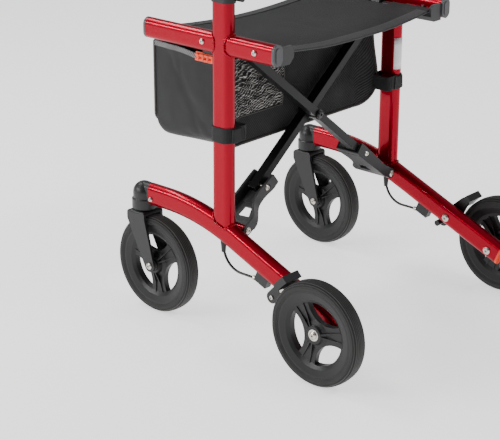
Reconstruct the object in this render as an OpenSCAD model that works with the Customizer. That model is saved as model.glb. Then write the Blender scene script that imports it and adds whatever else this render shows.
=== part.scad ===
// Folding rollator walker: two welded side frames joined by a scissor brace,
// front casters, braked rear wheels, height-adjustable handles, seat sling and bag.
// Origin on the floor, midway between the wheels. +X is the user's left, +Y the rear.
// Every side part is written for the left side; the right side is its mirror image.

/* [Wheels] */
// Diameter of all wheels over the tyre
wheel_d = 200; // [180:1:210]
// Width of the tyre
tyre_w = 34; // [30:1:36]
// Distance between the caster axle and the rear axle, casters trailing
wheelbase = 448; // [430:1:470]
// Distance from a rear wheel's middle to the tube beside it
rear_wheel_offset = 43; // [42:1:48]
// Distance of the caster axle behind its swivel axis
caster_trail = 36; // [30:1:40]

/* [Side frames] */
// Distance between the middles of the two side frames
frame_track = 508; // [500:1:540]
// Height of the lower tube's flat-oval section
tube_h = 45; // [44:0.5:46]
// Width of the lower tube's flat-oval section
tube_w = 27; // [26.6:0.1:27.4]
// Wall of all frame tubes
tube_wall = 1.8; // [1.5:0.1:2]
// Height of the lower tube's middle at the front
front_z = 243; // [241:0.5:245]
// Downward slope of the lower tube's rear half
tube_slope = 22.8; // [22:0.1:23.4]
// Radius of the arch in the lower tube
arch_r = 446; // [420:1:460]
// Fore-and-aft place of the uprights' middle
upright_y = -44; // [-46:1:-42]
// Height of the top of the uprights
upright_top = 700; // [690:1:720]
// Height of the middle of the seat rails
rail_z = 578; // [576:1:580]
// Height of the seat rails' flat-oval section
rail_h = 40; // [38:1:42]
// Front end of the seat rails
rail_front_y = -235; // [-240:1:-230]
// Rear end of the seat rails
rail_rear_y = 82; // [80:1:86]

/* [Scissor brace] */
// Distance of the brace's side pivots from the middle
brace_x = 224.4; // [224:0.1:225]
// Height of the brace's lower pivots
brace_z = 215.6; // [214:0.1:217]
// Angle of the brace bars to the floor, unfolded
brace_angle = 38.2; // [38:0.1:38.4]
// Depth of a brace bar, front to back
bar_depth = 20; // [18:1:20]
// Height of a brace bar across its length
bar_height = 16; // [14:1:18]

/* [Handles] */
// Height at which the handle tubes start to bend
handle_bend_z = 800; // [790:1:820]
// Radius of the handle bend
handle_bend_r = 70; // [60:1:80]
// Rise of the grips above level
grip_rise = 12; // [8:1:16]
// Length of the straight handle end that holds the grip
grip_tube = 140; // [135:1:150]

/* [Seat and bag] */
// Sag of the seat sling at its middle
seat_sag = 13; // [10:1:24]
// Front of the bag
bag_front_y = -250; // [-254:1:-240]
// Back of the bag
bag_rear_y = -80; // [-84:1:-79]
// Bottom of the bag
bag_bottom_z = 360; // [350:1:370]
// Top edge of the bag
bag_top_z = 545; // [540:1:548]

/* [Hidden] */
SIDES = [["left", 1], ["right", -1]];
SIDE_PARTS = ["lower_tube", "upright", "seat_rail", "end_caps", "seat_saddles", "frame_bolts",
    "rear_axle", "caster_head", "cable_stop", "brake_cable", "height_collar", "bag_fastenings",
    "caster_fork", "caster_axle", "caster_rim", "caster_tyre", "rear_rim", "rear_tyre", "brake_arm",
    "brace_foot", "seat_tube", "handle_tube", "grip", "lever_bracket", "brake_lever",
    "height_knob", "handle_cable"];

$fn = 64;
// Clearances: one face beside another, a turning shaft in its bore, a fixed bolt in its hole
gap = 0.4;
running = 0.05;
loose = 0.1;
// How far a plate's flanks stand proud of the circles they join
proud = 0.01;

wheel_r = wheel_d / 2;
rim_r = 82.5;
rim_ring_r = 60;
// Turn of the caster rim and of the rear rim about their axles
rim_turn = [67, 39];
frame_x = frame_track / 2;
rear_y = wheelbase / 2;
caster_y = -wheelbase / 2;
swivel_y = caster_y - caster_trail;
rear_wheel_x = frame_x + rear_wheel_offset;

// The lower tube: level, then an arch, then a straight slope that passes 5 mm over the axle
corner_y = rear_y - (front_z - wheel_r - 5) / tan(tube_slope);
arch_tangent = arch_r * tan(tube_slope / 2);
arch_y0 = corner_y - arch_tangent;
arch_y1 = corner_y + arch_tangent * cos(tube_slope);
arch_z1 = front_z - arch_tangent * sin(tube_slope);
tube_front_y = -237;
tube_rear_past_axle = 26;
slope_len = (rear_y - arch_y1) / cos(tube_slope) + tube_rear_past_axle;
// Hidden step where the straight slope starts inside the arch
seam = 0.04;
function slope_z(y) = wheel_r + 5 + (rear_y - y) * tan(tube_slope);

upright_h = 46;
upright_w = 26;
rail_w = 25;
rail_screw_ys = [41.6, -86.6];
saddle_spans = [[0, 84], [-128, -75]];
seat_tube_r = 9;
// Room round the seat tube for the fabric sleeve
sleeve = 1.8;
seat_tube_front_y = -222;
seat_tube_rear_y = 78;

head_bottom_z = wheel_r + 108.5;
stem_r = 8;
head_screw = [-229, 236];
brake_pivot = [119.7, 144.7];
// Where the brake's inner wire is clamped, and the shoe face held clear of the tyre
wire_clamp = [95, 125];
shoe_r = wheel_r + 4.5;
shoe_angle = 135.5;
// Pivot nut sunk in the arm, measured from the tube's outer face
brake_nut = [4.6, 8];

brace_half = brace_x / cos(brace_angle);
seat_z = brace_z + 2 * brace_half * sin(brace_angle);
front_bar_y = -59;
rear_bar_y = -36;
foot_from = 62;
bar_from = 86;
foot_to = 125;
foot_bolt_u = 99;
// Where a foot's straight flange starts to lean, and the lean of the left and right foot
lean_from = 13;
foot_lean = [15, 8];
// Depth of the flat seats cut in the flanges for the bar bolt's head and nut
spot_depth = 1.8;
hinge_boss = [-86.6, -16.4];
hinge_ends = [-92, -11];

bearing_r = 11;
bearing_w = 7;
axle_r = 4;
rear_axle_r = 5;
caster_hub = 16;
rear_hub = 13;

cable_r = 2.5;
cable_y = -46;
cable_bend_r = 45;
cable_z = 140;
cable_top_z = 480;
stop_y = 67;
barrel = [31, 50];

handle_h = 30;
handle_w = 18;
handle_wall = 1.6;
handle_bottom_z = 560;
// How much slimmer the handle tube is from the bend to its end
grip_step = 0.4;
bend_angle = 90 - grip_rise;
grip_y = upright_y + handle_bend_r * (1 - cos(bend_angle));
grip_z = handle_bend_z + handle_bend_r * sin(bend_angle);
lever_pivot = [4, -31];
lever_half_w = 6.5;
knob_z = 678;

frame_red = "crimson";
black = [0.12, 0.12, 0.13];
dark_grey = [0.24, 0.24, 0.26];
silver = [0.78, 0.77, 0.75];

// ---------- shared shapes ----------

// Flat oval, long axis along Y
module oval(h, w) {
    square([w, h - w], center = true);
    for (s = [-1, 1]) translate([0, s * (h - w) / 2]) circle(d = w);
}

// The four-sided piece between two circles, its flanks a hair proud of true tangents
module flanks(p, rp, q, rq) {
    d = q - p;
    turn = atan2(d[1], d[0]);
    lean = acos((rp - rq) / norm(d));
    polygon([for (s = [1, -1]) for (e = s > 0 ? [[p, rp], [q, rq]] : [[q, rq], [p, rp]])
        e[0] + (e[1] + proud) * [cos(turn + s * lean), sin(turn + s * lean)]]);
}

module capsule(p, rp, q, rq) {
    translate(p) circle(rp);
    translate(q) circle(rq);
    flanks(p, rp, q, rq);
}

// A plate whose outline runs round a row of circles, each given as centre and radius
module chain(circles, thick) {
    for (c = circles) translate(c[0]) cylinder(r = c[1], h = thick);
    for (i = [1 : len(circles) - 1]) linear_extrude(thick)
        flanks(circles[i - 1][0], circles[i - 1][1], circles[i][0], circles[i][1]);
}

// Puts a left-side part on either side
module on_side(s) {
    mirror([s < 0 ? 1 : 0, 0, 0]) children();
}

// Turns a part drawn round Z to lie along X
module along_x() {
    rotate([0, 90, 0]) children();
}

// Turns a part drawn round Z to lie along +Y
module along_y() {
    rotate([-90, 0, 0]) children();
}

// An outline in the fore-and-aft plane, from one X to another
module side_plate(x0, x1) {
    translate([x0, 0, 0]) rotate([90, 0, 90]) linear_extrude(x1 - x0) children();
}

module pin_x(y, z, r, x0, x1) {
    translate([x0, y, z]) along_x() cylinder(r = r, h = x1 - x0);
}

module pin_y(x, z, r, y0, y1) {
    translate([x, y0, z]) along_y() cylinder(r = r, h = y1 - y0);
}

// Button head with a hexagon socket, its seat at x, facing +X or -X
module button_head_x(x, y, z, r, facing = 1) {
    translate([x, y, z]) rotate([0, facing * 90, 0]) difference() {
        union() {
            cylinder(r = r, h = 1.6);
            translate([0, 0, 1.6]) cylinder(r1 = r, r2 = r * 0.62, h = 2);
        }
        translate([0, 0, 1.4]) cylinder(r = r * 0.38, h = 3, $fn = 6);
    }
}

// The same facing +Y or -Y
module button_head_y(x, y, z, r, facing = 1) {
    translate([x, y, z]) rotate([-90 * facing, 0, 0]) difference() {
        union() {
            cylinder(r = r, h = 1.6);
            translate([0, 0, 1.6]) cylinder(r1 = r, r2 = r * 0.62, h = 2);
        }
        translate([0, 0, 1.4]) cylinder(r = r * 0.38, h = 3, $fn = 6);
    }
}

// ---------- side frame ----------

// The route of the lower tube, filled by a flat oval
module lower_route(h, w, past = 0) {
    translate([frame_x, arch_y0, front_z]) rotate([90, 0, 0])
        linear_extrude(arch_y0 - tube_front_y + past) oval(h, w);
    translate([frame_x, arch_y0, front_z - arch_r]) rotate([0, -90, 0])
        rotate_extrude(angle = tube_slope, $fn = 256) translate([arch_r, 0]) rotate(90) oval(h, w);
    translate([frame_x, arch_y1, arch_z1]) rotate([-90 - tube_slope, 0, 0])
        translate([0, 0, -0.5]) linear_extrude(slope_len + 0.5 + past) oval(h - seam, w - seam);
}

// Local frame on the sloping tube: Y down the slope, Z square to it
module on_slope(y) {
    translate([frame_x, y, slope_z(y)]) rotate([-tube_slope, 0, 0]) children();
}

module upright_column(h, w, z0, z1) {
    translate([frame_x, upright_y, z0]) linear_extrude(z1 - z0) oval(h, w);
}

module lower_tube() {
    color(frame_red) difference() {
        union() {
            lower_route(tube_h, tube_w);
            pin_y(brace_x, brace_z, 9, hinge_boss[0], hinge_boss[1]);
            translate([brace_x, hinge_boss[0], brace_z - 5])
                cube([frame_x - 7 - brace_x, hinge_boss[1] - hinge_boss[0], 10]);
        }
        lower_route(tube_h - 2 * tube_wall, tube_w - 2 * tube_wall, 1);
        pin_y(brace_x, brace_z, axle_r + running, hinge_boss[0] - 1, hinge_boss[1] + 1);
        pin_x(rear_y, wheel_r, rear_axle_r + loose, frame_x - tube_w, frame_x + tube_w);
        pin_x(brake_pivot[0], brake_pivot[1], axle_r + loose, frame_x - tube_w, frame_x + tube_w);
        pin_x(head_screw[0], head_screw[1], 2.5 + loose, frame_x, frame_x + tube_w);
        translate([frame_x, cable_y, 150]) cylinder(r = 5, h = 120);
    }
}

module upright() {
    color(frame_red) difference() {
        upright_column(upright_h, upright_w, 212, upright_top);
        upright_column(upright_h - 2 * tube_wall, upright_w - 2 * tube_wall, 200, upright_top + 1);
        lower_route(tube_h, tube_w);
        pin_y(frame_x, knob_z, axle_r + loose, upright_y, upright_y + upright_h);
    }
}

module seat_rail() {
    color(frame_red) difference() {
        translate([frame_x, rail_rear_y, rail_z]) rotate([90, 0, 0])
            linear_extrude(rail_rear_y - rail_front_y) oval(rail_h, rail_w);
        translate([frame_x, rail_rear_y + 1, rail_z]) rotate([90, 0, 0])
            linear_extrude(rail_rear_y - rail_front_y + 2)
            oval(rail_h - 2 * tube_wall, rail_w - 2 * tube_wall);
        upright_column(upright_h, upright_w, rail_z - rail_h, rail_z + rail_h);
        for (y = rail_screw_ys) pin_x(y, rail_z, 2.5 + loose, frame_x - rail_w, frame_x + rail_w);
    }
}

// A plug for an open tube end: plate, raised oval and spigot, facing +Z
module tube_plug(h, w) {
    linear_extrude(5) oval(h, w);
    translate([0, 0, 5]) linear_extrude(1.5) oval(h - 12, w - 12);
    translate([0, 0, -12]) linear_extrude(12)
        oval(h - 2 * tube_wall - gap, w - 2 * tube_wall - gap);
}

module end_caps() {
    color(dark_grey) {
        translate([frame_x, rail_rear_y, rail_z]) rotate([-90, 0, 0]) tube_plug(rail_h, rail_w);
        translate([frame_x, rail_front_y, rail_z]) rotate([90, 0, 0]) tube_plug(rail_h, rail_w);
    }
    color("orangered") translate([frame_x, arch_y1, arch_z1]) rotate([-90 - tube_slope, 0, 0])
        translate([0, 0, slope_len]) tube_plug(tube_h, tube_w);
}

// Cradles on the rail's inner side that hold the unfolded seat tube, open upwards; the rear
// one has a wall past the tube's end
module seat_saddles() {
    inner_x = brace_x - 17;
    outer_x = frame_x - rail_w / 2;
    bottom_z = rail_z - 22;
    top_z = rail_z - 2;
    wall_top = rail_z + 12;
    corner = 11;
    groove_r = seat_tube_r + sleeve;
    end_y = saddle_spans[0][1];
    wall_y = seat_tube_rear_y + 1;
    color(dark_grey) {
        for (span = [[saddle_spans[0][0], wall_y], saddle_spans[1]]) difference() {
            translate([0, span[1], 0]) rotate([90, 0, 0]) linear_extrude(span[1] - span[0])
                polygon([[inner_x, bottom_z + corner], [inner_x + corner, bottom_z],
                    [outer_x, bottom_z], [outer_x, top_z], [inner_x, top_z]]);
            pin_y(brace_x, seat_z, groove_r, span[0] - 1, span[1] + 1);
            translate([brace_x - groove_r, span[0] - 1, seat_z])
                cube([2 * groove_r, span[1] - span[0] + 2, 30]);
            for (y = rail_screw_ys) pin_x(y, rail_z, 2.5 + loose, frame_x - rail_w, frame_x);
        }
        translate([0, end_y, 0]) rotate([90, 0, 0]) linear_extrude(end_y - wall_y)
            polygon([[inner_x, bottom_z + corner], [inner_x + corner, bottom_z],
                [outer_x, bottom_z], [outer_x, wall_top], [inner_x + corner / 2, wall_top],
                [inner_x, wall_top - corner / 2]]);
    }
}

module frame_bolts() {
    rail_face = frame_x + rail_w / 2;
    tube_face = frame_x + tube_w / 2;
    color(silver) {
        for (y = rail_screw_ys) {
            button_head_x(rail_face, y, rail_z, 5.5);
            pin_x(y, rail_z, 2.5, frame_x - rail_w / 2 - 5, rail_face + 1);
        }
        button_head_x(tube_face, head_screw[0], head_screw[1], 5);
        pin_x(head_screw[0], head_screw[1], 2.5, frame_x - 6, tube_face + 1);
        button_head_x(frame_x - tube_w / 2, brake_pivot[0], brake_pivot[1], 8, -1);
        pin_x(brake_pivot[0], brake_pivot[1], axle_r, frame_x - tube_w / 2 - 1,
            tube_face + brake_nut[0] + 1);
        pin_x(brake_pivot[0], brake_pivot[1], 6, tube_face + brake_nut[0], tube_face + brake_nut[1]);
        pin_y(frame_x, cable_z, 3, barrel[0] + 6, barrel[1]);
        pin_y(frame_x, cable_z, 4.6, barrel[0], barrel[0] + 6);
    }
}

// Rear axle: headed bolt and spacer in one, with its two ball bearings
module rear_axle() {
    inner_face = frame_x - tube_w / 2;
    outer_face = frame_x + tube_w / 2;
    hub_in = rear_wheel_x - rear_hub;
    hub_out = rear_wheel_x + rear_hub;
    color(silver) {
        button_head_x(inner_face, rear_y, wheel_r, 8, -1);
        pin_x(rear_y, wheel_r, rear_axle_r, inner_face - 1, hub_out + 0.2);
        pin_x(rear_y, wheel_r, 9, outer_face, hub_in - gap);
        button_head_x(hub_out + 0.1, rear_y, wheel_r, 7.5);
        bearing_pair(rear_wheel_x, rear_y, rear_axle_r, rear_hub);
    }
}

module bearing_pair(x, y, bore_r, hub_half) {
    for (s = [-1, 1]) translate([x + s * (hub_half - bearing_w / 2), y, wheel_r]) along_x()
        difference() {
            cylinder(r = bearing_r, h = bearing_w, center = true);
            cylinder(r = bore_r + running, h = bearing_w + 1, center = true);
        }
}

// ---------- caster ----------

// Domed swivel housing with a sleeve that plugs into the lower tube
module caster_head() {
    dome_r = 22.6;
    color(black) difference() {
        union() {
            translate([frame_x, swivel_y, head_bottom_z]) difference() {
                union() {
                    cylinder(r1 = 22, r2 = 25, h = 2.5);
                    translate([0, 0, 2.5]) cylinder(r = 25, h = 19);
                    translate([0, 0, 21.5]) cylinder(r1 = 25, r2 = dome_r, h = 2);
                    translate([0, 0, 23.5]) cylinder(r = dome_r, h = 10);
                    translate([0, 0, 33.5]) sphere(r = dome_r);
                }
                translate([-20, tube_front_y - swivel_y, front_z - tube_h / 2 - gap - head_bottom_z])
                    cube([40, 10, 30]);
            }
            translate([frame_x, tube_front_y, front_z]) rotate([90, 0, 0])
                linear_extrude(tube_front_y - swivel_y) oval(44, 26.4);
            translate([frame_x, tube_front_y + 25, front_z]) rotate([90, 0, 0]) linear_extrude(26)
                oval(tube_h - 2 * tube_wall - gap, tube_w - 2 * tube_wall - gap);
        }
        translate([frame_x, swivel_y, head_bottom_z - 1]) cylinder(r = stem_r + running, h = 43);
        pin_x(head_screw[0], head_screw[1], 2.5 + loose, frame_x - 8, frame_x + tube_w);
    }
}

module fork_blade_outline() {
    axle = [caster_y, wheel_r];
    tops = [[swivel_y - 12, wheel_r + 92], [swivel_y + 12, wheel_r + 92]];
    for (t = tops) capsule(t, 12, axle, 12.5);
    polygon([tops[0], tops[1], axle]);
    translate([swivel_y - 24, wheel_r + 92]) square([48, 16]);
}

// An outline with two rounded top corners, its top at the origin's height
module rounded_top(half, corner, depth) {
    translate([-half, -depth]) square([2 * half, depth - corner]);
    translate([-half + corner, -depth]) square([2 * (half - corner), depth]);
    for (s = [-1, 1]) translate([s * (half - corner), -corner]) circle(corner);
}

module caster_fork() {
    inner = 20.5;
    outer = 26;
    crown_z = head_bottom_z - gap;
    color(black) difference() {
        union() {
            translate([frame_x, swivel_y, crown_z - 3]) cylinder(r = stem_r, h = 42.4);
            intersection() {
                union() {
                    translate([frame_x - outer, swivel_y - 24, crown_z - 6.6])
                        cube([2 * outer, 48, 6.6]);
                    for (s = [-1, 1]) side_plate(frame_x + min(s * inner, s * outer),
                        frame_x + max(s * inner, s * outer)) fork_blade_outline();
                }
                translate([frame_x, 0, crown_z]) rotate([90, 0, 0]) linear_extrude(400)
                    rounded_top(outer, 5, 150);
                translate([frame_x - 40, swivel_y, crown_z]) rotate([90, 0, 90]) linear_extrude(80)
                    union() {
                        rounded_top(24, 8, 20);
                        translate([-60, -150]) square([140, 135]);
                    }
            }
        }
        pin_x(caster_y, wheel_r, axle_r + loose, frame_x - 40, frame_x + 40);
    }
}

// Caster axle with its spacer shoulders, and its two ball bearings
module caster_axle() {
    blade_out = 26;
    color(silver) {
        for (s = [-1, 1]) button_head_x(frame_x + s * blade_out, caster_y, wheel_r, 7, s);
        pin_x(caster_y, wheel_r, axle_r, frame_x - blade_out - 1, frame_x + blade_out + 1);
        for (x = [-20.4, caster_hub + gap]) pin_x(caster_y, wheel_r, 6.5, frame_x + x,
            frame_x + x + 20.4 - caster_hub - gap);
        bearing_pair(frame_x, caster_y, axle_r, caster_hub);
    }
}

// One of the rim's three openings: the ring's inner circle cut by a wide arc towards the hub
module rim_opening() {
    intersection() {
        cylinder(r = rim_ring_r, h = 40, center = true);
        translate([75.5, 0, 0]) cylinder(r = 48.5, h = 42, center = true);
    }
}

// A rib on one face of a spoke, sloping from the hub down to the ring
module rim_rib(hub_half) {
    thick = 2.4;
    translate([0, thick / 2, 0]) rotate([90, 0, 0]) linear_extrude(thick)
        polygon([[14, 3], [rim_ring_r + 4, 3], [rim_ring_r + 4, 7.6], [42, 8.2], [18, hub_half - 1],
            [14, hub_half - 1]]);
}

// Rim round Z: tyre seat sloping down to a web with three openings, ribbed spokes, flared hub
module rim(hub_half) {
    face = [[bearing_r + running, hub_half], [17, hub_half], [20, 9], [27, 6], [59, 6], [67, 11],
        [79, 14], [rim_r, 14]];
    difference() {
        union() {
            rotate_extrude($fn = 128) polygon(concat([for (p = face) [p[0], -p[1]]],
                [for (i = [len(face) - 1 : -1 : 0]) face[i]]));
            for (spoke = [60 : 120 : 300], lean = [-1, 1], side = [0, 1])
                rotate([0, 0, spoke + lean * 9]) mirror([0, 0, side]) rim_rib(hub_half);
        }
        for (i = [0 : 2]) rotate(i * 120) rim_opening();
        cylinder(r = bearing_r + running, h = 60, center = true);
    }
}

module tyre() {
    rotate_extrude($fn = 128) intersection() {
        polygon([[rim_r, -14], [88, -tyre_w / 2], [94, -tyre_w / 2], [wheel_r + 1, -9],
            [wheel_r + 1, 9], [94, tyre_w / 2], [88, tyre_w / 2], [rim_r, 14]]);
        translate([wheel_r - 60, 0]) circle(r = 60);
    }
}

module caster_rim() {
    color(black) translate([frame_x, caster_y, wheel_r]) along_x()
        rotate(rim_turn[0]) rim(caster_hub);
}

module caster_tyre() {
    color([0.08, 0.08, 0.08]) translate([frame_x, caster_y, wheel_r]) along_x() tyre();
}

module rear_rim() {
    color(black) translate([rear_wheel_x, rear_y, wheel_r]) along_x()
        rotate(rim_turn[1]) rim(rear_hub);
}

module rear_tyre() {
    color([0.08, 0.08, 0.08]) translate([rear_wheel_x, rear_y, wheel_r]) along_x() tyre();
}

// ---------- brake ----------

// Block under the lower tube that holds the cable's outer casing
module cable_stop() {
    color(black) difference() {
        on_slope(stop_y) translate([-8, -15, -39]) cube([16, 30, 24]);
        lower_route(tube_h, tube_w);
        pin_y(frame_x, cable_z, 3 + loose, 0, barrel[1] + loose);
        pin_y(frame_x, cable_z, 1.2, 0, 200);
    }
}

// Outer casing: level from the stop, a quarter bend, then up inside the upright, with its grommet
module brake_cable() {
    color(black) {
        pin_y(frame_x, cable_z, cable_r, cable_y + cable_bend_r, barrel[0]);
        translate([frame_x, cable_y + cable_bend_r, cable_z + cable_bend_r]) rotate([0, -90, 0])
            rotate(180) rotate_extrude(angle = 90, $fn = 96)
            translate([cable_bend_r, 0]) circle(cable_r, $fn = 24);
        translate([frame_x, cable_y, cable_z + cable_bend_r])
            cylinder(r = cable_r, h = cable_top_z - cable_z - cable_bend_r);
        difference() {
            translate([frame_x, cable_y, 172]) cylinder(r1 = 4, r2 = 7, h = 30);
            translate([frame_x, cable_y, 160]) cylinder(r = cable_r + running, h = 50);
            lower_route(tube_h, tube_w);
        }
    }
}

module brake_arm() {
    tube_face = frame_x + tube_w / 2;
    arm_in = tube_face + 0.6;
    arm_out = arm_in + 7.6;
    shoe_mid = [rear_y, wheel_r] + (shoe_r + 7) * [cos(shoe_angle), sin(shoe_angle)];
    color(black) difference() {
        union() {
            side_plate(arm_in, arm_out) {
                capsule(brake_pivot, 17, shoe_mid, 9);
                capsule(brake_pivot, 17, wire_clamp, 12);
            }
            side_plate(arm_in, rear_wheel_x + 14) difference() {
                translate([rear_y, wheel_r]) rotate(shoe_angle) translate([wheel_r, -15])
                    square([18, 30]);
                translate([rear_y, wheel_r]) circle(shoe_r, $fn = 128);
            }
            pin_x(wire_clamp[0], wire_clamp[1], 6, frame_x - 8, arm_in + 1);
        }
        pin_x(brake_pivot[0], brake_pivot[1], axle_r + running, arm_in - 1, arm_out + 1);
        pin_x(brake_pivot[0], brake_pivot[1], 6.5, tube_face + brake_nut[0] - gap, arm_out + 1);
    }
}

// ---------- scissor brace ----------

// Puts a part on the bar that hinges on the given side: X along the bar from its lower pivot
module on_brace(s) {
    mirror([s > 0 ? 1 : 0, 0, 0]) translate([-brace_x, 0, brace_z]) rotate([0, -brace_angle, 0])
        children();
}

module brace_bar(y, pivot_r) {
    wall = 1.8;
    length = 2 * brace_half;
    difference() {
        union() {
            translate([bar_from, y - bar_depth / 2, -bar_height / 2])
                cube([length - 8 - bar_from, bar_depth, bar_height]);
            pin_y(length, 0, 14, y - bar_depth / 2, y + bar_depth / 2);
            pin_y(brace_half, 0, 11, y - bar_depth / 2, y + bar_depth / 2);
        }
        for (span = [[bar_from - 1, brace_half - 14], [brace_half + 14, length - 20]])
            translate([span[0], y - bar_depth / 2 + wall, -bar_height / 2 + wall])
            cube([span[1] - span[0], bar_depth - 2 * wall, bar_height - 2 * wall]);
        pin_y(length, 0, seat_tube_r + running, y - bar_depth, y + bar_depth);
        pin_y(brace_half, 0, pivot_r, y - bar_depth, y + bar_depth);
        pin_y(foot_bolt_u, 0, 3 + loose, y - bar_depth, y + bar_depth);
    }
}

module brace_bar_front() {
    color(black) on_brace(1) brace_bar(front_bar_y, axle_r + running);
}

module brace_bar_rear() {
    color(black) on_brace(-1) brace_bar(rear_bar_y, axle_r + loose);
}

// Distance of the waisted flange from the straight one, along the foot
function ease(t) = (1 - cos(180 * min(max(t, 0), 1))) / 2;
function waist(u) = 81 - 23 * ease((u - 18) / 52) + 7 * ease((u - 78) / 36);
function leaned(lean, u) = lean * max(u - lean_from, 0) / (foot_to - lean_from);

// Moulded foot: the straight flange starts at y0 and leans by lean, the waisted one lies at dir
module foot_shape(y0, lean, dir, bar_y) {
    wall = 5;
    web_top = -9.6;
    bed_half = 14;
    u0 = -11;
    us = [for (u = [u0 : 4 : foot_to]) u];
    function straight(u) = y0 + dir * leaned(lean, u);
    function curved(u) = y0 + dir * waist(u);
    module band(top, base) {
        translate([0, 0, base]) linear_extrude(top - base) children();
    }
    difference() {
        intersection() {
            union() {
                band(web_top, -14) polygon(concat([for (u = us) [u, straight(u)]],
                    [for (i = [len(us) - 1 : -1 : 0]) [us[i], curved(us[i])]]));
                band(12, -14) polygon(concat([for (u = us) [u, curved(u)]],
                    [for (i = [len(us) - 1 : -1 : 0]) [us[i], curved(us[i]) - dir * wall]]));
                band(12, -14) polygon(concat([for (u = us) [u, straight(u)]],
                    [for (i = [len(us) - 1 : -1 : 0]) [us[i], straight(us[i]) + dir * wall]]));
                translate([foot_from - 2, bar_y - bed_half, -14])
                    cube([foot_to - foot_from, 2 * bed_half, 14 - bar_height / 2 - loose]);
            }
            rotate([90, 0, 0]) foot_side();
        }
        translate([18, y0 + dir * 27, -20]) linear_extrude(20) polygon([[12, 0], [14, dir * 28],
            [34, dir * 22], [34, dir * 4]]);
        pin_y(0, 0, axle_r + loose, -120, 0);
        pin_y(foot_bolt_u, 0, 3 + loose, -120, 0);
        for (face = [straight(foot_bolt_u) + dir * spot_depth, curved(foot_bolt_u) - dir * spot_depth])
            pin_y(foot_bolt_u, 0, 6.2, face - (face < bar_y ? 12 : 0), face + (face < bar_y ? 0 : 12));
    }
}

// Side view of the foot: deep and squared off at the bar, rounded round the lower pivot
module foot_side() {
    corner = 3;
    low = -13.5;
    high = 11.5;
    from = foot_to - 12;
    chain([[[0, 0], 10.5], [[30, -4], 10], [[foot_to - 12, -1], 12.5]], 120);
    translate([12, -14, 0]) cube([foot_to - 24, 6, 120]);
    translate([from, low + corner, 0]) cube([foot_to - from, high - low - 2 * corner, 120]);
    translate([from, low, 0]) cube([foot_to - corner - from, high - low, 120]);
    for (v = [low + corner, high - corner]) translate([foot_to - corner, v, 0])
        cylinder(r = corner, h = 120);
}

module brace_foot_left() {
    color(dark_grey) on_brace(1) foot_shape(hinge_ends[0], foot_lean[0], 1, front_bar_y);
}

module brace_foot_right() {
    color(dark_grey) on_brace(-1) foot_shape(hinge_ends[1], foot_lean[1], -1, rear_bar_y);
}

// Lower pivot bolt and bar bolt of one foot
module foot_bolts(bar_bolt_front, bar_bolt_rear) {
    button_head_y(0, hinge_ends[1], 0, 7, 1);
    pin_y(0, 0, axle_r, hinge_ends[0] - 4, hinge_ends[1] + 1);
    pin_y(0, 0, 6.5, hinge_ends[0] - 5, hinge_ends[0]);
    button_head_y(foot_bolt_u, bar_bolt_rear, 0, 5.5, 1);
    pin_y(foot_bolt_u, 0, 3, bar_bolt_front - 4, bar_bolt_rear + 1);
    pin_y(foot_bolt_u, 0, 5.5, bar_bolt_front - 4.5, bar_bolt_front);
}

module brace_bolts_front() {
    front = hinge_ends[0] + leaned(foot_lean[0], foot_bolt_u) + spot_depth;
    color(silver) on_brace(1)
        foot_bolts(front, hinge_ends[0] + waist(foot_bolt_u) - spot_depth);
}

// The rear bar's foot bolts, the middle pivot bolt and the washer between the bars
module brace_bolts_rear() {
    rear = hinge_ends[1] - leaned(foot_lean[1], foot_bolt_u) - spot_depth;
    rear_face = rear_bar_y + bar_depth / 2;
    between = rear_bar_y - bar_depth / 2;
    front_face = front_bar_y - bar_depth / 2;
    color(silver) on_brace(-1) {
        foot_bolts(hinge_ends[1] - waist(foot_bolt_u) + spot_depth, rear);
        pin_y(brace_half, 0, 9, rear_face, rear_face + 3);
        button_head_y(brace_half, rear_face + 2.9, 0, 7.5, 1);
        pin_y(brace_half, 0, axle_r, front_face - 6, rear_face + 4);
        pin_y(brace_half, 0, 7, front_face - gap - 6, front_face - gap);
        difference() {
            pin_y(brace_half, 0, 10, between - 2.6, between);
            pin_y(brace_half, 0, axle_r + running, between - 3, between + 1);
        }
    }
}

// ---------- seat and bag ----------

module seat_tube() {
    color(black) difference() {
        pin_y(brace_x, seat_z, seat_tube_r, seat_tube_front_y, seat_tube_rear_y);
        pin_y(brace_x, seat_z, seat_tube_r - 1.5, seat_tube_front_y + 2, seat_tube_rear_y - 2);
    }
}

// Sagging fabric between the seat tubes
module seat_sling() {
    half = 206.8;
    thick = 4;
    sag_r = (half * half + seat_sag * seat_sag) / (2 * seat_sag);
    edge_z = seat_z + 4;
    color(dark_grey) translate([0, seat_tube_front_y + 4, 0]) rotate([90, 0, 180])
        linear_extrude(seat_tube_rear_y - seat_tube_front_y - 8) intersection() {
            translate([-half, edge_z - seat_sag - 10]) square([2 * half, seat_sag + 30]);
            translate([0, edge_z - seat_sag + sag_r]) difference() {
                circle(r = sag_r, $fn = 512);
                circle(r = sag_r - thick, $fn = 512);
            }
        }
}

module bag_outline(inset) {
    corner = 30 - inset;
    y0 = bag_front_y + inset;
    y1 = bag_rear_y - inset;
    z0 = bag_bottom_z + inset;
    for (y = [y0 + corner, y1 - corner]) translate([y, z0 + corner]) circle(corner);
    translate([y0 + corner, z0]) square([y1 - y0 - 2 * corner, corner]);
    translate([y0, z0 + corner]) square([y1 - y0, bag_top_z - z0 - corner + inset]);
}

// Open-topped bag hung between the seat rails
module bag() {
    half = 226;
    skin = 3;
    color(dark_grey) difference() {
        side_plate(-half, half) bag_outline(0);
        side_plate(-half + skin, half - skin) bag_outline(skin);
    }
}

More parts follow.
